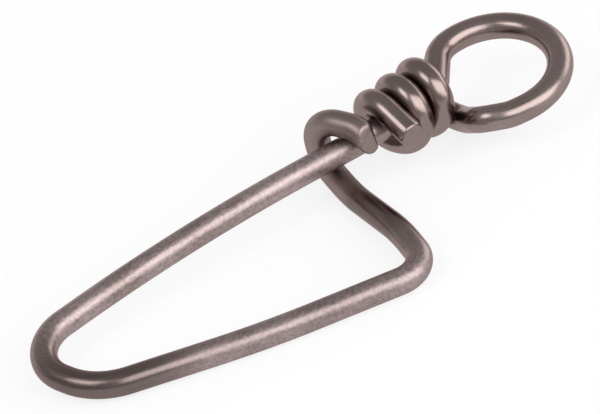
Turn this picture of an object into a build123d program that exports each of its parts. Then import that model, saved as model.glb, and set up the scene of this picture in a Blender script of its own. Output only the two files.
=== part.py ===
from build123d import *
import os
from math import cos, pi, radians, sin, tan

# A coastlock snap: one length of round spring wire, bent into an eye, wrapped back
# round its own shank and bent into a long loop whose free end hooks over the shank.
# It is laid out flat, with X along the shank towards the eye, Y across the loop and
# the origin at the centre of the eye, and then turned to lie as it comes to rest.
# A corner is the point where two straight runs of the wire would meet.

# The wire
wire_diameter = 2.0
least_gap = 0.06  # between stretches of the wire that lie against each other

# The eye
eye_bore = 8.2
eye_shank_angle = 100.0  # where the ring ends, from X, on the shank's side
eye_wrap_angle = -100.0  # and on the wrap's side
neck_run = 0.7  # from the ring's end to the first corner of the neck
neck_tuck = 1.05  # from the near edge of the ring's middle line to where the neck meets the shank
neck_foot_radius = 1.6

# The wrap, with angles round the shank from the far side over the top
wrap_tuck = 1.46  # of the first turn into the bend of the neck
turn_gap = 0.14
wrap_slant = 0.34  # how far each turn leans towards the eye
wrap_slant_angle = 154.0  # where that lean is greatest
wrap_start_angle = -85.0
wrap_turns = 2.5
corners_per_turn = 12
tail_length = 3.5
tail_lean = 0.09  # towards the eye, for each length of tail
tail_drop = 0.34
lead_gap = 0.26  # between the first turn and the stretch that leads to it from the eye
lead_y = -0.3
lead_sink = 0.4  # how far it lies below the turns
lead_dip = 0.08  # how far the ring has dipped where it begins
ring_corner_angle = 24.0  # between the corners that carry the ring on to there

# The shank
shank_end_tuck = 0.81  # of its end into the wrap
shank_end_y = 1.05
shank_lean = 6.6
shank_radius = 20.0

# The loop
arm_bow = 1.27
arm_bow_radius = 130.0
far_corner_x = -42.7
far_corner_y = 0.95
far_corner_radius = 3.45
end_drop = 7.15
end_lean = 2.68
end_corner_radius = 5.45
lower_bow = 0.66
lower_bow_radius = 76.0
near_corner_back = 1.42  # from the latch, away from the eye
near_corner_y = -13.7
near_corner_radius = 2.15
leg_corner_back = 0.71
leg_corner_y = -8.95
leg_radius = 12.0

# The latch
latch_run = 4.08  # from the shank's end to where the leg turns level below it
latch_y = -1.0
latch_reach = 3.8
latch_under_gap = 0.23
latch_over_gap = 0.1
latch_under_shift = 0.56  # how far each run of the hook moves towards the wrap
latch_rise_shift = 0.1
latch_over_shift = 1.63
latch_under_radius = 1.75
latch_straight = 0.28  # left between the two bends of the hook
tip_corner_y = 0.48
tip_reach = 1.73
tip_shift = 0.32
tip_drop = 0.66
tip_radius = 3.0

# The cut ends, as turns of the cut face from square
end_length = 0.9  # of the straight end, to the middle of the cut
tail_cut_up = 8.0
tip_cut_up = 34.0
tip_side_cut = 48.0  # the second cut, on the tip's side towards the wrap
tip_side_cut_from = 0.42  # from the middle of the wire

# Laying the wire down: the points that stand for it, and the slopes that are tried
sample_run = 0.4
widest_lean = 0.4
finest_lean = 1e-4

# Share of a run that a bend may take, between two bends and beside one
shared_ratio = 0.45
whole_ratio = 0.95

wire_radius = wire_diameter / 2
eye_radius = (eye_bore + wire_diameter) / 2
wrap_radius = wire_diameter + least_gap
wrap_pitch = wire_diameter + turn_gap
neck_x = neck_tuck - eye_radius
wrap_x = neck_x - wire_diameter - wrap_pitch / 2 + wrap_tuck
lead_x = wrap_x + wire_diameter + lead_gap
shank_end_x = wrap_x - wrap_pitch * wrap_turns + shank_end_tuck
latch_x = shank_end_x - latch_run
latch_under = wire_diameter + latch_under_gap
latch_over = wire_diameter + latch_over_gap
latch_over_radius = latch_under + latch_over - latch_under_radius - latch_straight
shank_end = Vector(shank_end_x, shank_end_y, 0)
shank_axis = Vector(cos(radians(shank_lean)), sin(radians(shank_lean)), 0)
shank_side = Vector(-shank_axis.Y, shank_axis.X, 0)
up = Vector(0, 0, 1)


# Point of the shank's axis at x, inside the wrap
def on_shank(x):
    return shank_end + shank_axis * ((x - shank_end_x) / shank_axis.X)


# Point at an angle round the eye
def on_ring(angle, radius):
    return Vector(radius * cos(radians(angle)), radius * sin(radians(angle)), 0)


# Corner of the wrap at an angle round the shank, just outside the turn's own circle
def wrap_corner(angle):
    radius = wrap_radius / cos(pi / corners_per_turn)
    along = -wrap_pitch * (angle - 180) / 360
    along += wrap_slant * cos(radians(angle - wrap_slant_angle))
    round_shank = shank_side * cos(radians(angle)) + up * sin(radians(angle))
    return on_shank(wrap_x) + shank_axis * along + round_shank * radius


# Bend radius that takes up a share of the shorter run beside a corner
def widest_bend(before, corner, after, share=shared_ratio):
    run = min((before - corner).length, (after - corner).length)
    turn = 180 - (before - corner).get_angle(after - corner)
    return share * run / tan(radians(turn) / 2)


# From the cut end of the wrap, round the shank and under it, to the ring of the eye
def wrap_path():
    step = 360 / corners_per_turn
    angles = [wrap_start_angle + step * i for i in range(round(wrap_turns * corners_per_turn) + 1)]
    turns = [wrap_corner(angle) for angle in reversed(angles)]
    tail_run = tail_length - end_length
    tail = turns[0] + Vector(tail_lean, -1, -tail_drop).normalized() * tail_run
    lead = Vector(lead_x, lead_y, turns[-1].Z - lead_sink)
    corner_radius = eye_radius / cos(radians(ring_corner_angle / 2))
    level_angle = eye_wrap_angle - ring_corner_angle / 2
    level = on_ring(level_angle, corner_radius)
    dipped = on_ring(level_angle - ring_corner_angle, corner_radius) - up * lead_dip
    corners = [tail, *turns, lead, dipped, level, on_ring(eye_wrap_angle, eye_radius)]
    radii = [widest_bend(*three) for three in zip(corners, corners[1:], corners[2:])]
    return FilletPolyline(*corners, radius=radii)


# The ring of the eye
def eye_path():
    return CenterArc((0, 0), eye_radius, eye_wrap_angle, eye_shank_angle - eye_wrap_angle)


# From the ring through the neck, shank and loop to the tip of the hook
def loop_path():
    ring_end = on_ring(eye_shank_angle, eye_radius)
    neck = ring_end + on_ring(eye_shank_angle + 90, neck_run)
    neck_foot = on_shank(neck_x)
    far_corner = Vector(far_corner_x, far_corner_y, 0)
    end_corner = far_corner + Vector(end_lean, -end_drop, 0)
    near_corner = Vector(latch_x - near_corner_back, near_corner_y, 0)
    arm_middle = bowed(shank_end, far_corner, arm_bow)
    lower_middle = bowed(end_corner, near_corner, lower_bow)
    leg = Vector(latch_x - leg_corner_back, leg_corner_y, 0)
    under_start = Vector(latch_x, latch_y, -latch_under)
    under_end = Vector(latch_x + latch_under_shift, latch_reach, -latch_under)
    over_start = Vector(under_end.X + latch_rise_shift, latch_reach, latch_over)
    tip_corner = Vector(over_start.X + latch_over_shift, tip_corner_y, latch_over)
    tip_run = Vector(tip_shift, -tip_reach, -tip_drop)
    tip = tip_corner + tip_run - tip_run.normalized() * end_length
    bends = [
        (neck, widest_bend(ring_end, neck, neck_foot, whole_ratio)),
        (neck_foot, neck_foot_radius),
        (shank_end, shank_radius),
        (arm_middle, arm_bow_radius),
        (far_corner, far_corner_radius),
        (end_corner, end_corner_radius),
        (lower_middle, lower_bow_radius),
        (near_corner, near_corner_radius),
        (leg, leg_radius),
        (under_start, leg_radius),
        (under_end, latch_under_radius),
        (over_start, latch_over_radius),
        (tip_corner, tip_radius),
    ]
    corners = [ring_end, *[corner for corner, radius in bends], tip]
    return FilletPolyline(*corners, radius=[radius for corner, radius in bends])


# Corner that bows a run outwards at its middle, to the right of the way it runs
def bowed(start, end, bow):
    run = (end - start).normalized()
    return (start + end) / 2 + Vector(run.Y, -run.X, 0) * bow


# The whole centreline, from the cut end of the wrap to the tip of the hook
def centreline():
    return Wire([*wrap_path().edges(), *eye_path().edges(), *loop_path().edges()])


# Straight end of the wire, cut by planes turned upwards and aside from square
def cut_end(start, outward, cuts):
    piece = Plane(origin=start, z_dir=outward) * Cylinder(
        wire_radius, 2 * end_length, align=(Align.CENTER, Align.CENTER, Align.MIN)
    )
    aside = up.cross(outward).normalized()
    upright = outward.cross(aside)
    for turned_up, turned_aside, off_middle in cuts:
        facing = outward * cos(radians(turned_up)) + upright * sin(radians(turned_up))
        facing = facing * cos(radians(turned_aside)) + aside * sin(radians(turned_aside))
        cut = Plane(origin=start + outward * end_length + aside * off_middle, z_dir=facing)
        piece = split(piece, bisect_by=cut, keep=Keep.BOTTOM)
    return piece


# The wire as bent, with the loop level
def snap():
    path = centreline()
    section = Plane(origin=path @ 0, z_dir=path % 0) * Circle(wire_radius)
    wire = sweep(section, path=path)
    tail = cut_end(path @ 0, -(path % 0), [(tail_cut_up, 0, 0)])
    tip_cuts = [(tip_cut_up, 0, 0), (tip_cut_up, tip_side_cut, tip_side_cut_from)]
    tip = cut_end(path @ 1, path % 1, tip_cuts)
    return wire + tail + tip


# The direction that is up when the wire lies on a table with its middle as low as it goes
def resting_up(path):
    count = round(path.length / sample_run)
    points = [tuple(path @ ((i + 0.5) / count)) for i in range(count)]
    middle = [sum(values) / count for values in zip(*points)]
    offsets = [[m - v for m, v in zip(middle, point)] for point in points]
    best = (0.0, 0.0)
    reach = widest_lean
    while reach > finest_lean:
        grid = [reach * i / 3 for i in range(-3, 4)]
        leans = [(best[0] + x, best[1] + y) for x in grid for y in grid]
        best = min(leans, key=lambda lean: middle_height(offsets, lean))
        reach /= 2
    return Vector(*best, 1)


# Height of the middle over the lowest point, when up leans from Z by the two slopes
def middle_height(offsets, lean):
    size = (lean[0] ** 2 + lean[1] ** 2 + 1) ** 0.5
    return max(x * lean[0] + y * lean[1] + z for x, y, z in offsets) / size


os.makedirs("parts", exist_ok=True)
lying = Plane(origin=(0, 0, 0), x_dir=(1, 0, 0), z_dir=resting_up(centreline()))
export_step(lying.to_local_coords(snap()), "parts/snap_wire.step")
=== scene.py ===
import bpy
import math
import numpy as np
from mathutils import Matrix, Vector


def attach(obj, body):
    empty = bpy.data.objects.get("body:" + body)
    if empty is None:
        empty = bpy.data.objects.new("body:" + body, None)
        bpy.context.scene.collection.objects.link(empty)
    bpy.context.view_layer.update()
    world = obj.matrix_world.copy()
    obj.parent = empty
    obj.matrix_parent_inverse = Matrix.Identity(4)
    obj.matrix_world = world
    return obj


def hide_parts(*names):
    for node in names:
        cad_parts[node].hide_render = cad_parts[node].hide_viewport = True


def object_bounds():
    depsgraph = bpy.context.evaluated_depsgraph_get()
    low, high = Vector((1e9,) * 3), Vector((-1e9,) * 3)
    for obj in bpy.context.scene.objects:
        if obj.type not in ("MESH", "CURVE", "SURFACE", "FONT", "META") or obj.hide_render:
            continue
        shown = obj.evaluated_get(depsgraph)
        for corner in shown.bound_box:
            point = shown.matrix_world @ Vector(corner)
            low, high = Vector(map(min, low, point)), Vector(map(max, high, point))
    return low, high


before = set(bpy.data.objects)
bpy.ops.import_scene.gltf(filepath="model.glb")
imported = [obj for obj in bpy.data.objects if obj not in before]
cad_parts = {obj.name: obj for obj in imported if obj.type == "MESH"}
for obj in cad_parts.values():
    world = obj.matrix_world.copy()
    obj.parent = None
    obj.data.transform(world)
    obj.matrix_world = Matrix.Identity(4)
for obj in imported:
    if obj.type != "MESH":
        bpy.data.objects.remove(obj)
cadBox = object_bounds()
print("frame loaded, box", cadBox)

mm = 0.001  # in metres

# The wire's route in millimetres, laid out with the loop level and the eye's centre at 0.
# X runs along the shank towards the eye and Y across the loop. A corner is the point where
# two straight runs of the wire would meet.
wire = {
    "diameter": 2.0,
    "leastGap": 0.06,  # between stretches that lie against each other
    # the eye, and the neck, which bends a little wider than the solid's
    "eyeBore": 8.2,
    "eyeShankAngle": 92.0, "eyeWrapAngle": -100.0,  # where the ring ends
    "ringCorners": 5,  # whose arcs make the ring between them
    "neckRun": 1.3, "neckX": -4.05, "neckFootRadius": 1.6,
    # the wrap, with angles round the shank from the far side over the top
    "wrapX": -5.66, "wrapPitch": 2.14, "wrapSlant": 0.34, "wrapSlantAngle": 154.0,
    "wrapStartAngle": -85.0, "wrapTurns": 2.5, "cornersPerTurn": 12,
    "tailLength": 3.5, "tailLean": 0.09, "tailDrop": 0.34,
    # the stretch that leads from the wrap to the eye
    "lead": (-3.4, -0.3), "leadSink": 0.4, "leadDip": 0.08, "ringCornerAngle": 24.0,
    # the shank and the loop
    "shankEnd": (-10.2, 1.05), "shankLean": 6.6, "shankRadius": 20.0,
    "armBow": 1.27, "armBowRadius": 130.0,
    "farCorner": (-42.7, 0.95), "farCornerRadius": 3.45,
    "endDrop": 7.15, "endLean": 2.68, "endCornerRadius": 5.45,
    "lowerBow": 0.66, "lowerBowRadius": 76.0,
    "nearCorner": (-15.7, -13.7), "nearCornerRadius": 2.15,
    "legCorner": (-14.99, -8.95), "legRadius": 12.0,
    # the latch: the hook goes under the shank, up behind it and back over it, and its tip is
    # a little shorter than the solid's
    "latch": (-14.28, -1.0), "latchReach": 3.8,
    "latchUnderGap": 0.23, "latchOverGap": 0.1,
    "latchUnderShift": 0.56, "latchRiseShift": 0.1, "latchOverShift": 1.63,
    "latchUnderRadius": 1.75, "latchOverRadius": 2.3,
    "tipCornerY": 0.48, "tipReach": 1.42, "tipShift": 0.26, "tipDrop": 0.54, "tipRadius": 2.5,
    # the share of a run that a bend may take, between two bends and beside one
    "sharedRatio": 0.45, "wholeRatio": 0.95,
    # the cut ends, and each cut as turned up, turned aside and off the middle
    "endLength": 0.9,
    "tailCuts": [(8.0, 0.0, 0.0)],
    "tipCuts": [(34.0, 0.0, 0.0), (34.0, 48.0, 0.42)],
    "rimRound": 0.2,  # radius of the worn rim
    "markHeight": 0.018,  # of the marks that the cutter leaves
    "markWaves": (7.0, 26.0), "markCount": 5, "markWay": (0.8, 0.6),  # radians per millimetre
    "tailSeed": 3, "tipSeed": 8,
    "up": (0.046094, 0.156380, 1.0),  # the way that is up as it lies at rest
    # the mesh
    "ringStep": 0.22,  # along the wire
    "sides": 56,
    "rimRings": 5, "faceRings": 12,  # over a cut end
    "sharpAngle": 38.0,  # edges that turn more are drawn sharp
}


def unit(v):
    # v / its length
    return v / np.linalg.norm(v)


def widestBend(before, corner, after, share):
    # radius = share of the shorter run / tan(half the turn)
    run = min(np.linalg.norm(before - corner), np.linalg.norm(after - corner))
    turn = math.acos(np.dot(unit(corner - before), unit(after - corner)))
    return share * run / math.tan(turn / 2)


def onRing(angle, radius):
    # radius * (cos angle, sin angle), level with the eye
    a = math.radians(angle)
    return np.array([radius * math.cos(a), radius * math.sin(a), 0.0])


def bowed(start, end, bow):
    # the middle of a run, moved by bow to the right of the way it runs
    run = unit(end - start)
    return (start + end) / 2 + np.array([run[1], -run[0], 0.0]) * bow


def wrapCorners(w, onShank, axis, eyeRadius):
    # corners from the tail to the ring: the one at angle a round the shank lies
    # (diameter + gap) / cos(half a step) from its axis, and -pitch * (a - 180) / 360 +
    # slant * cos(a - slant angle) along it
    up = np.array([0.0, 0.0, 1.0])
    side = np.array([-axis[1], axis[0], 0.0])
    step = 360 / w["cornersPerTurn"]
    count = round(w["wrapTurns"] * w["cornersPerTurn"]) + 1
    a = w["wrapStartAngle"] + step * np.arange(count)[::-1]
    slant = w["wrapSlant"] * np.cos(np.radians(a - w["wrapSlantAngle"]))
    along = -w["wrapPitch"] * (a - 180) / 360 + slant
    outward = np.cos(np.radians(a))[:, None] * side + np.sin(np.radians(a))[:, None] * up
    radius = (w["diameter"] + w["leastGap"]) / math.cos(math.pi / w["cornersPerTurn"])
    turns = onShank(w["wrapX"]) + along[:, None] * axis + outward * radius
    tailWay = unit(np.array([w["tailLean"], -1.0, -w["tailDrop"]]))
    tail = turns[0] + tailWay * (w["tailLength"] - w["endLength"])
    lead = np.array([*w["lead"], turns[-1][2] - w["leadSink"]])
    ringCorner = eyeRadius / math.cos(math.radians(w["ringCornerAngle"] / 2))
    levelAngle = w["eyeWrapAngle"] - w["ringCornerAngle"] / 2
    level = onRing(levelAngle, ringCorner)
    dipped = onRing(levelAngle - w["ringCornerAngle"], ringCorner) - up * w["leadDip"]
    return [tail, *turns, lead, dipped, level, onRing(w["eyeWrapAngle"], eyeRadius)]


def routeCorners(w):
    # corners of the centreline and the bend radius at each, from the tail to the tip
    eyeRadius = (w["eyeBore"] + w["diameter"]) / 2
    lean = math.radians(w["shankLean"])
    axis = np.array([math.cos(lean), math.sin(lean), 0.0])
    shankEnd = np.array([*w["shankEnd"], 0.0])

    def onShank(x):
        return shankEnd + axis * ((x - shankEnd[0]) / axis[0])

    corners = wrapCorners(w, onShank, axis, eyeRadius)
    threes = zip(corners, corners[1:], corners[2:])
    radii = [widestBend(*three, w["sharedRatio"]) for three in threes]
    corners = corners[:-1]

    # the ring of the eye: corners whose arcs meet end to end, eye radius / cos(half an arc) out
    count = w["ringCorners"]
    arc = (w["eyeShankAngle"] - w["eyeWrapAngle"]) / count
    ringCorner = eyeRadius / math.cos(math.radians(arc / 2))
    corners += [onRing(w["eyeWrapAngle"] + arc * (i + 0.5), ringCorner) for i in range(count)]
    radii += [eyeRadius] * count

    # the neck, shank, loop, leg and hook
    ringEnd = onRing(w["eyeShankAngle"], eyeRadius)
    neck = ringEnd + onRing(w["eyeShankAngle"] + 90, w["neckRun"])
    neckFoot = onShank(w["neckX"])
    far = np.array([*w["farCorner"], 0.0])
    end = far + np.array([w["endLean"], -w["endDrop"], 0.0])
    near = np.array([*w["nearCorner"], 0.0])
    under = -(w["diameter"] + w["latchUnderGap"])
    over = w["diameter"] + w["latchOverGap"]
    underStart = np.array([*w["latch"], under])
    underEnd = np.array([underStart[0] + w["latchUnderShift"], w["latchReach"], under])
    overStart = np.array([underEnd[0] + w["latchRiseShift"], w["latchReach"], over])
    tipCorner = np.array([overStart[0] + w["latchOverShift"], w["tipCornerY"], over])
    tipRun = np.array([w["tipShift"], -w["tipReach"], -w["tipDrop"]])
    bends = [
        (neck, widestBend(ringEnd, neck, neckFoot, w["wholeRatio"])),
        (neckFoot, w["neckFootRadius"]),
        (shankEnd, w["shankRadius"]),
        (bowed(shankEnd, far, w["armBow"]), w["armBowRadius"]),
        (far, w["farCornerRadius"]),
        (end, w["endCornerRadius"]),
        (bowed(end, near, w["lowerBow"]), w["lowerBowRadius"]),
        (near, w["nearCornerRadius"]),
        (np.array([*w["legCorner"], 0.0]), w["legRadius"]),
        (underStart, w["legRadius"]),
        (underEnd, w["latchUnderRadius"]),
        (overStart, w["latchOverRadius"]),
        (tipCorner, w["tipRadius"]),
    ]
    corners += [corner for corner, radius in bends]
    radii += [radius for corner, radius in bends]
    corners.append(tipCorner + tipRun - unit(tipRun) * w["endLength"])
    return np.array(corners), radii


def roundedRoute(corners, radii, step):
    # straight runs joined by arcs: an arc's point is centre + radius * (cos t * from centre +
    # sin t * onwards); the side vector keeps its share towards the centre and its share across
    # the bend, so nothing twists
    centres, sides, ways = [], [], []
    way = unit(corners[1] - corners[0])
    side = unit(np.cross(way, [0.0, 0.0, 1.0]))
    here = corners[0]
    for i, radius in enumerate(radii, start=1):
        back, on = unit(corners[i - 1] - corners[i]), unit(corners[i + 1] - corners[i])
        turn = math.pi - math.acos(np.clip(np.dot(back, on), -1, 1))
        reach = radius * math.tan(turn / 2)
        start = corners[i] + back * reach
        centre = corners[i] + unit(back + on) * math.hypot(reach, radius)
        run = np.linalg.norm(start - here)
        t = np.linspace(0, 1, max(1, round(run / step)), endpoint=False)[:, None]
        if run > step / 3:  # arcs that all but meet need no ring between them
            centres.append(here + (start - here) * t)
            sides.append(np.repeat([side], len(t), axis=0))
            ways.append(np.repeat([-back], len(t), axis=0))
        out = unit(start - centre)
        across = np.cross(-back, -out)
        inShare, acrossShare = np.dot(side, -out), np.dot(side, across)
        t = np.linspace(0, turn, max(2, round(radius * turn / step)), endpoint=False)[:, None]
        radial = out * np.cos(t) - back * np.sin(t)
        centres.append(centre + radius * radial)
        sides.append(-radial * inShare + across * acrossShare)
        ways.append(-back * np.cos(t) - out * np.sin(t))
        radial = out * math.cos(turn) - back * math.sin(turn)
        side = -radial * inShare + across * acrossShare
        here = centre + radius * radial
    run = np.linalg.norm(corners[-1] - here)
    t = np.linspace(0, 1, max(2, round(run / step)))[:, None]
    centres.append(here + (corners[-1] - here) * t)
    sides.append(np.repeat([side], len(t), axis=0))
    ways.append(np.repeat([unit(corners[-1] - here)], len(t), axis=0))
    return np.vstack(centres), np.vstack(sides), np.vstack(ways)


def cutHeight(x, y, w, cuts, outward, xWay, yWay):
    # height of the cut end over its root at x, y across the wire: the lowest of the cutting
    # planes there
    aside = unit(np.cross([0.0, 0.0, 1.0], outward))
    upright = np.cross(outward, aside)
    heights = []
    for turnedUp, turnedAside, offMiddle in cuts:
        u, s = math.radians(turnedUp), math.radians(turnedAside)
        facing = outward * math.cos(u) + upright * math.sin(u)
        facing = facing * math.cos(s) + aside * math.sin(s)
        level = np.dot(facing, outward * w["endLength"] + aside * offMiddle)
        lower = x * np.dot(facing, xWay) + y * np.dot(facing, yWay)
        heights.append((level - lower) / np.dot(facing, outward))
    return np.min(heights, axis=0)


def endRings(root, outward, xWay, yWay, w, cuts, seed):
    # rings from the root over the worn rim to the middle: the radius shrinks from the wire's
    # to 0 while the height follows the cut, less a quarter circle's fall at the rim, plus the
    # cutter's marks, a mean of sine waves across the face
    radius, rim = w["diameter"] / 2, w["rimRound"]
    bend = np.linspace(0, math.pi / 2, w["rimRings"])
    inner = np.linspace(radius - rim, 0, w["faceRings"] + 2)[1:-1]
    r = np.concatenate([radius - rim + rim * np.cos(bend), inner])[:, None]
    fall = np.concatenate([rim * (1 - np.sin(bend)), np.zeros(len(inner))])[:, None]
    a = np.linspace(0, 2 * math.pi, w["sides"], endpoint=False)[None]
    x, y = r * np.cos(a), r * np.sin(a)
    rng = np.random.default_rng(seed)
    count = w["markCount"]
    waves, starts = rng.uniform(*w["markWaves"], count), rng.uniform(0, 2 * math.pi, count)
    acrossFace = x * w["markWay"][0] + y * w["markWay"][1]
    marks = sum(np.sin(wave * acrossFace + start) for wave, start in zip(waves, starts)) / count
    onFace = fall < rim / 10  # the marks stop at the rim
    cut = cutHeight(x, y, w, cuts, outward, xWay, yWay)
    height = (cut - fall + marks * w["markHeight"] * onFace)[..., None]
    rings = root + outward * height + xWay * x[..., None] + yWay * y[..., None]
    middle = root + outward * cutHeight(0.0, 0.0, w, cuts, outward, xWay, yWay)
    return rings, middle


def wireSurface(w):
    # P(s, a) = centre(s) + radius * (cos a * side(s) + sin a * way(s) x side(s)), with the cut
    # ends added as more rings; along is the run of the rings' middles plus their change of size
    corners, radii = routeCorners(w)
    centres, sides, ways = roundedRoute(corners, radii, w["ringStep"])
    across = np.cross(ways, sides)
    a = np.linspace(0, 2 * math.pi, w["sides"], endpoint=False)[None, :, None]
    radial = np.cos(a) * sides[:, None] + np.sin(a) * across[:, None]
    body = centres[:, None] + w["diameter"] / 2 * radial
    tail, tailMiddle = endRings(
        centres[0], -ways[0], sides[0], across[0], w, w["tailCuts"], w["tailSeed"])
    tip, tipMiddle = endRings(
        centres[-1], ways[-1], sides[-1], across[-1], w, w["tipCuts"], w["tipSeed"])
    rings = np.concatenate([tail[::-1], body, tip])
    middles = rings.mean(axis=1)
    sizes = np.linalg.norm(rings - middles[:, None], axis=2).mean(axis=1)
    steps = np.linalg.norm(np.diff(middles, axis=0), axis=1) + np.abs(np.diff(sizes))
    along = np.concatenate([[0], np.cumsum(steps)])
    up = unit(np.array(w["up"]))
    xWay = unit(np.array([1.0, 0.0, 0.0]) - up * up[0])
    lying = np.stack([xWay, np.cross(up, xWay), up])
    return rings @ lying.T, tailMiddle @ lying.T, tipMiddle @ lying.T, along


def tubeMesh(name, rings, first, last, along, sharpAngle):
    # quads between rings, closed round, and a fan at each end; U is the length along the wire
    # in centimetres and V the share of a turn
    n, m = rings.shape[:2]
    i, j = np.meshgrid(np.arange(n - 1), np.arange(m), indexing="ij")
    nextJ = (j + 1) % m
    quads = np.stack(
        [i * m + j, i * m + nextJ, (i + 1) * m + nextJ, (i + 1) * m + j], -1).reshape(-1, 4)
    u = along / 10
    quadUv = np.stack([
        np.stack([u[i], u[i], u[i + 1], u[i + 1]], -1),
        np.stack([j / m, (j + 1) / m, (j + 1) / m, j / m], -1)], -1).reshape(-1, 2)

    # the fans, with the two middles as the last two points
    k = np.arange(m)
    nextK = (k + 1) % m
    startFan = np.stack([np.full(m, n * m), nextK, k], -1)
    endFan = np.stack([np.full(m, n * m + 1), (n - 1) * m + k, (n - 1) * m + nextK], -1)
    startV = np.stack([(k + 0.5) / m, (k + 1) / m, k / m], -1)
    endV = np.stack([(k + 0.5) / m, k / m, (k + 1) / m], -1)
    startUv = np.stack([np.full((m, 3), u[0]), startV], -1).reshape(-1, 2)
    endUv = np.stack([np.full((m, 3), u[-1]), endV], -1).reshape(-1, 2)

    points = np.vstack([rings.reshape(-1, 3), first, last]) * mm
    loops = np.concatenate([quads.ravel(), startFan.ravel(), endFan.ravel()])
    starts = np.concatenate([np.arange(len(quads)) * 4, len(quads) * 4 + np.arange(2 * m) * 3])
    mesh = bpy.data.meshes.new(name)
    mesh.vertices.add(len(points))
    mesh.vertices.foreach_set("co", points.ravel())
    mesh.loops.add(len(loops))
    mesh.loops.foreach_set("vertex_index", loops)
    mesh.polygons.add(len(starts))
    mesh.polygons.foreach_set("loop_start", starts)
    mesh.update(calc_edges=True)
    layer = mesh.uv_layers.new(name="wireRun")
    layer.data.foreach_set("uv", np.vstack([quadUv, startUv, endUv]).ravel())
    mesh.polygons.foreach_set("use_smooth", np.ones(len(starts), dtype=bool))
    mesh.validate()
    mesh.set_sharp_from_angle(angle=math.radians(sharpAngle))
    obj = bpy.data.objects.new(name, mesh)
    bpy.context.scene.collection.objects.link(obj)
    return obj


class Sock:
    # a socket that takes part in sums; each sum adds a Math node
    def __init__(self, tree, socket):
        self.tree, self.socket = tree, socket

    def math(self, operation, *others):
        return makeNode(self.tree, "ShaderNodeMath", {"operation": operation}, [self, *others])

    def __add__(self, other): return self.math("ADD", other)
    def __radd__(self, other): return self.math("ADD", other)
    def __sub__(self, other): return self.math("SUBTRACT", other)
    def __rsub__(self, other): return self.math("MULTIPLY", -1.0).math("ADD", other)
    def __mul__(self, other): return self.math("MULTIPLY", other)
    def __rmul__(self, other): return self.math("MULTIPLY", other)
    def clamped(self): return self.math("MAXIMUM", 0.0).math("MINIMUM", 1.0)

    def ramp(self, low, high):  # 0 below low, 1 above high, smooth between
        smooth = {"interpolation_type": "SMOOTHSTEP"}
        return makeNode(self.tree, "ShaderNodeMapRange", smooth, [self, low, high, 0.0, 1.0])


def makeNode(tree, kind, settings=None, inputs=None, output=0):
    # one node: its settings first, then its inputs by place or by name
    node = tree.nodes.new(kind)
    for key, value in (settings or {}).items():
        setattr(node, key, value)
    pairs = inputs.items() if isinstance(inputs, dict) else enumerate(inputs or [])
    for key, value in pairs:
        if isinstance(value, Sock):
            tree.links.new(value.socket, node.inputs[key])
        else:
            node.inputs[key].default_value = value
    return Sock(tree, node.outputs[output])


finish = {
    "dark": (0.198, 0.149, 0.137, 1.0),  # brown grey in the darker drifts
    "light": (0.326, 0.260, 0.253, 1.0),  # pinkish grey in the lighter ones
    "brushedLight": (0.450, 0.368, 0.366, 1.0),  # and on the straight runs, which stay brushed
    "edge": (0.75, 0.67, 0.66, 1.0),  # tint of the reflection at a flat angle
    # stretches of the wire, in centimetres from the tail: begins, full, full until, ends, and
    # how much
    "brushedRuns": [(7.0, 8.0, 10.4, 11.0, 1.0), (11.6, 12.2, 13.6, 14.1, 1.0)],
    # painted shade: stretches whose colour is darkened towards black to stand in for the shade and
    # dark reflections they get
    "paintedShadeRuns": [
        (10.6, 11.1, 11.6, 12.1, 0.36),  # the far end of the loop, painted darker for the dark surroundings it reflects
        (12.0, 12.5, 13.6, 14.1, 0.09),  # its lower arm, painted a little darker as shade
        (14.0, 14.3, 14.8, 15.0, 0.38),  # the leg, painted darker for the shade under the arm and the dark surroundings it reflects
    ],
    "rougherRuns": [(14.7, 15.0, 17.0, 18.0, 0.16)],  # the hook
    # the patterns: drift and grain per metre, and the drawing lines on their own coordinates
    "drift": {"Scale": 130.0, "Detail": 3.0, "Roughness": 0.5},
    "grain": {"Scale": 3800.0, "Detail": 3.0, "Roughness": 0.6},
    "streaks": {"Scale": 1.0, "Detail": 4.0, "Roughness": 0.65},
    "streaksRound": 9.0,  # per wire radius
    "streaksAlong": 2.2,  # per centimetre
    "patternRange": (0.3, 0.7), "streaksRange": (0.35, 0.65),  # what of each is spread to 0 to 1
    # where the colour lies from dark to light: the least, and what each pattern adds
    "leastTone": 0.2, "driftTone": 0.45, "streaksTone": 0.2,
    "grainTone": 0.15, "brushedGrainTone": 0.35,  # everywhere, and as much more where brushed
    "bentRoughness": 0.25, "brushedRoughness": 0.42,
    "driftRoughness": 0.12, "streaksRoughness": 0.1,
    "grainRoughness": 0.08, "brushedGrainRoughness": 0.14,
    "streakDepth": 0.008, "grainDepth": 0.012,  # millimetres
    "bentGrain": 0.08,  # the share of the grain's depth that the bends have
}


def sumOfRuns(u, runs):
    # each run adds its amount * ramp(u, begins to full) * (1 - ramp(u, full until to ends))
    return sum(
        u.ramp(begins, full) * (1.0 - u.ramp(fullUntil, ends)) * amount
        for begins, full, fullUntil, ends, amount in runs)


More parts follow.
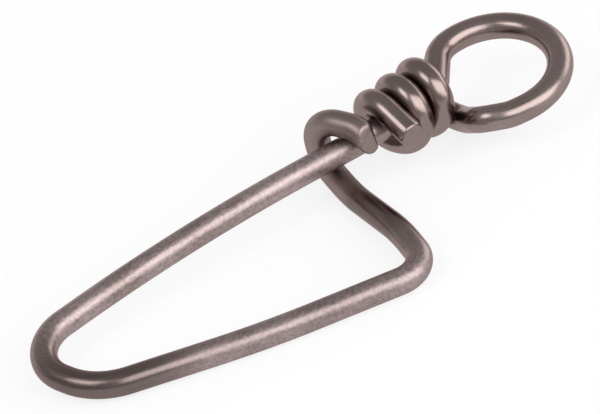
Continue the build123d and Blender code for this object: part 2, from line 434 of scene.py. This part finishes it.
def wireMaterial(f):
    # tone is the least plus a share of each pattern; colour goes from dark to light with it,
    # to a lighter light where brushed, and towards black on the runs of painted shade
    material = bpy.data.materials.new("drawnWire")
    material.use_nodes = True
    tree = material.node_tree
    shader = tree.nodes["Principled BSDF"]
    shader.inputs["Metallic"].default_value = 1.0
    shader.inputs["Specular Tint"].default_value = f["edge"]

    place = makeNode(tree, "ShaderNodeTexCoord", output="Object")
    uv = makeNode(tree, "ShaderNodeUVMap", {"uv_map": "wireRun"})
    u = makeNode(tree, "ShaderNodeSeparateXYZ", None, [uv], "X")
    v = makeNode(tree, "ShaderNodeSeparateXYZ", None, [uv], "Y")
    turn = v * (2 * math.pi)
    around = makeNode(tree, "ShaderNodeCombineXYZ", None, [
        turn.math("COSINE") * f["streaksRound"],
        turn.math("SINE") * f["streaksRound"],
        u * f["streaksAlong"]])
    streaks = makeNode(tree, "ShaderNodeTexNoise", None, {"Vector": around, **f["streaks"]})
    grain = makeNode(tree, "ShaderNodeTexNoise", None, {"Vector": place, **f["grain"]})
    drift = makeNode(tree, "ShaderNodeTexNoise", None, {"Vector": place, **f["drift"]})
    brushed = sumOfRuns(u, f["brushedRuns"])

    speckle = f["grainTone"] + brushed * f["brushedGrainTone"]
    tone = f["leastTone"] + drift.ramp(*f["patternRange"]) * f["driftTone"]
    tone = tone + streaks.ramp(*f["streaksRange"]) * f["streaksTone"]
    tone = (tone + (grain.ramp(*f["patternRange"]) - 0.5) * speckle).clamped()
    mix = {"data_type": "RGBA"}
    light = makeNode(tree, "ShaderNodeMix", mix, {
        "Factor": brushed, "A": f["light"], "B": f["brushedLight"]}, "Result")
    colour = makeNode(tree, "ShaderNodeMix", mix, {
        "Factor": tone, "A": f["dark"], "B": light}, "Result")
    # painted shade: the colour fades towards black on the far end, lower arm and leg
    colour = makeNode(tree, "ShaderNodeMix", mix, {
        "Factor": sumOfRuns(u, f["paintedShadeRuns"]), "A": colour, "B": (0.0, 0.0, 0.0, 1.0)}, "Result")

    rough = f["bentRoughness"] + brushed * (f["brushedRoughness"] - f["bentRoughness"])
    rough = rough + sumOfRuns(u, f["rougherRuns"]) + (drift - 0.5) * f["driftRoughness"]
    rough = rough + (grain - 0.5) * (f["grainRoughness"] + brushed * f["brushedGrainRoughness"])
    rough = rough + (streaks - 0.5) * f["streaksRoughness"]

    grainShare = f["bentGrain"] + brushed * (1.0 - f["bentGrain"])
    height = (streaks * f["streakDepth"] + grain * grainShare * f["grainDepth"]) * mm
    bump = makeNode(tree, "ShaderNodeBump", None, {
        "Strength": 1.0, "Distance": 1.0, "Height": height})
    tree.links.new(colour.socket, shader.inputs["Base Color"])
    tree.links.new(rough.clamped().socket, shader.inputs["Roughness"])
    tree.links.new(bump.socket, shader.inputs["Normal"])
    return material


rings, tailMiddle, tipMiddle, along = wireSurface(wire)
snapWire = tubeMesh("snapWireDrawn", rings, tailMiddle, tipMiddle, along, wire["sharpAngle"])
snapWire.data.materials.append(wireMaterial(finish))
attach(snapWire, "root")
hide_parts("snap_wire")
print("wire made,", len(snapWire.data.polygons), "faces,", round(float(along[-1]), 1), "mm")

# The table, the soft boxes and the sky
studio = {
    "floorHalf": 4.0,  # metres
    "floorColour": 0.90,
    "floorShare": 0.80,  # share of plain white that the camera and the metal see in the floor
    "skyHigh": 0.45,  # overhead
    "skyFar": 1.0, "farWay": (0.64, 0.77, 0.0),  # and as much more low down beyond the table
    "farRange": (-0.3, 0.7), "lowRange": (0.0, 0.5),  # where that comes in, and fades upwards
    # where each hangs round the piece and how high, both in degrees, how far off, its width and
    # height in metres, its turn in its own plane, and its radiance
    "boxes": [
        ("frontBox", -72.0, 33.0, 0.5, 0.78, 0.38, -28.0, 3.0),
        ("sideBox", 8.0, 14.0, 0.5, 0.42, 0.22, 0.0, 1.5),
        ("endBox", -172.0, 52.0, 0.5, 0.24, 0.22, 0.0, 3.4),
    ],
    "aim": (-0.018, 0.0, 0.0),
}


def makeFloor(s, z):
    # a flat square at height z: white by a share where the camera or the metal sees it, and
    # a pale matt table to the light
    half = s["floorHalf"]
    square = [(-half, -half, z), (half, -half, z), (half, half, z), (-half, half, z)]
    mesh = bpy.data.meshes.new("floor")
    mesh.from_pydata(square, [], [(0, 1, 2, 3)])
    obj = bpy.data.objects.new("floor", mesh)
    bpy.context.scene.collection.objects.link(obj)
    material = bpy.data.materials.new("paleTable")
    material.use_nodes = True
    tree = material.node_tree
    tree.nodes.remove(tree.nodes["Principled BSDF"])
    rays = ("Is Camera Ray", "Is Glossy Ray", "Is Transmission Ray")
    seen = sum(makeNode(tree, "ShaderNodeLightPath", output=ray) for ray in rays).clamped()
    grey = (s["floorColour"],) * 3 + (1.0,)
    matt = makeNode(tree, "ShaderNodeBsdfDiffuse", None, {"Color": grey})
    white = makeNode(tree, "ShaderNodeEmission", None, {
        "Color": (1.0, 1.0, 1.0, 1.0), "Strength": 1.0})
    mixed = makeNode(tree, "ShaderNodeMixShader", None, [seen * s["floorShare"], matt, white])
    tree.links.new(mixed.socket, tree.nodes["Material Output"].inputs["Surface"])
    obj.data.materials.append(material)


def makeBox(s, name, azimuth, elevation, distance, width, height, turn, radiance):
    # place = aim + distance * (cos azimuth cos elevation, sin azimuth cos elevation,
    # sin elevation), facing the aim; power = radiance * pi * width * height
    lamp = bpy.data.lights.new(name, "AREA")
    lamp.shape, lamp.size, lamp.size_y = "RECTANGLE", width, height
    lamp.energy = radiance * math.pi * width * height
    obj = bpy.data.objects.new(name, lamp)
    a, b = math.radians(azimuth), math.radians(elevation)
    way = Vector((math.cos(a) * math.cos(b), math.sin(a) * math.cos(b), math.sin(b)))
    facing = way.to_track_quat("Z", "Y").to_matrix() @ Matrix.Rotation(math.radians(turn), 3, "Z")
    obj.matrix_world = Matrix.Translation(Vector(s["aim"]) + way * distance) @ facing.to_4x4()
    bpy.context.scene.collection.objects.link(obj)


def makeSky(s):
    # strength = high + far * ramp(share of the way beyond the table) * (1 - ramp(height))
    world = bpy.data.worlds.new("sky")
    bpy.context.scene.world = world
    world.use_nodes = True
    tree = world.node_tree
    way = makeNode(tree, "ShaderNodeTexCoord", output="Generated")
    height = makeNode(tree, "ShaderNodeSeparateXYZ", None, [way], "Z")
    dot = {"operation": "DOT_PRODUCT"}
    away = makeNode(tree, "ShaderNodeVectorMath", dot, [way, s["farWay"]], "Value")
    low = 1.0 - height.ramp(*s["lowRange"])
    level = s["skyHigh"] + away.ramp(*s["farRange"]) * low * s["skyFar"]
    background = tree.nodes["Background"]
    background.inputs["Color"].default_value = (1.0, 1.0, 1.0, 1.0)
    tree.links.new(level.socket, background.inputs["Strength"])


makeFloor(studio, float(cadBox[0][2]))
for box in studio["boxes"]:
    makeBox(studio, *box)
makeSky(studio)
print("studio made")

# The camera: where it stands, and its own right and back
view = {
    "place": (-0.11726, -0.23257, 0.16346),
    "right": (0.82042, -0.51948, -0.23887),
    "back": (-0.32787, -0.76970, 0.54778),
    "lens": 246.0,
    "sensorWidth": 36.0,
}
camera = bpy.data.objects.new("camera", bpy.data.cameras.new("camera"))
right, back = Vector(view["right"]), Vector(view["back"])
turned = Matrix((right, back.cross(right), back)).transposed().to_4x4()
camera.matrix_world = Matrix.Translation(view["place"]) @ turned
camera.data.lens = view["lens"]
camera.data.sensor_width = view["sensorWidth"]
bpy.context.scene.collection.objects.link(camera)
bpy.context.scene.camera = camera
bpy.context.scene.view_settings.view_transform = "Standard"
print("camera placed")
